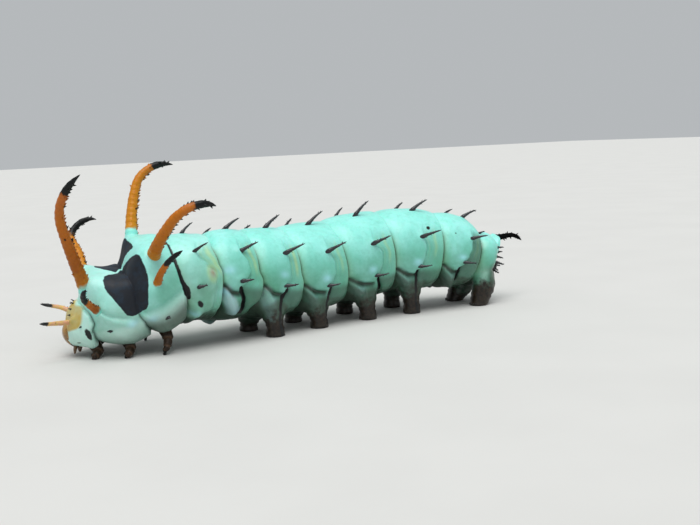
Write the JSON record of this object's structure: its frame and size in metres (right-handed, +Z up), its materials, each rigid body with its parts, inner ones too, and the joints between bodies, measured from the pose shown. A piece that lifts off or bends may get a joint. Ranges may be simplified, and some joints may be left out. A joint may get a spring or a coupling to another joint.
{
  "type": "hickory horned devil larva",
  "caption": "Life-size still moth larva with folded mint-green body rings, curved orange horns with black tips, dark spines and stubby prolegs.",
  "frame": {"origin": "on the floor under the middle of the bounding box", "axes": "+X from the head towards the tail, +Z up, -Y on the larva's left side"},
  "size_m": [0.1398, 0.0428, 0.0438],
  "materials": {
    "mint_skin": "soft waxy skin with a faint sheen",
    "orange_horn": "hard, satin, darker towards the tip",
    "black_spine": "hard and glossy",
    "brown_head": "hard and satin",
    "dark_leg": "hard and satin"
  },
  "bodies": {
    "root": {"abdomen_1": "mint_skin", "abdomen_10": "mint_skin", "abdomen_2": "mint_skin", "abdomen_3": "mint_skin", "abdomen_4": "mint_skin", "abdomen_5": "mint_skin", "abdomen_6": "mint_skin", "abdomen_7": "mint_skin", "abdomen_8": "mint_skin", "abdomen_9": "mint_skin", "anal_proleg_left": "mint_skin", "anal_proleg_right": "mint_skin", "antenna_left": "brown_head", "antenna_right": "brown_head", "head": "brown_head", "horn_t1_left": "orange_horn", "horn_t1_right": "orange_horn", "horn_t2_left_long": "orange_horn", "horn_t2_left_short": "orange_horn", "horn_t2_right_long": "orange_horn", "horn_t2_right_short": "orange_horn", "horn_t3_left_long": "orange_horn", "horn_t3_left_short": "orange_horn", "horn_t3_right_long": "orange_horn", "horn_t3_right_short": "orange_horn", "horn_tail": "black_spine", "labrum": "brown_head", "leg_1_left": "dark_leg", "leg_1_right": "dark_leg", "leg_2_left": "dark_leg", "leg_2_right": "dark_leg", "leg_3_left": "dark_leg", "leg_3_right": "dark_leg", "mandible_left": "brown_head", "mandible_right": "brown_head", "proleg_3_left": "mint_skin", "proleg_3_right": "mint_skin", "proleg_4_left": "mint_skin", "proleg_4_right": "mint_skin", "proleg_5_left": "mint_skin", "proleg_5_right": "mint_skin", "proleg_6_left": "mint_skin", "proleg_6_right": "mint_skin", "thorax_1": "mint_skin", "thorax_2": "mint_skin", "thorax_3": "mint_skin"}
  },
  "joints": []
}
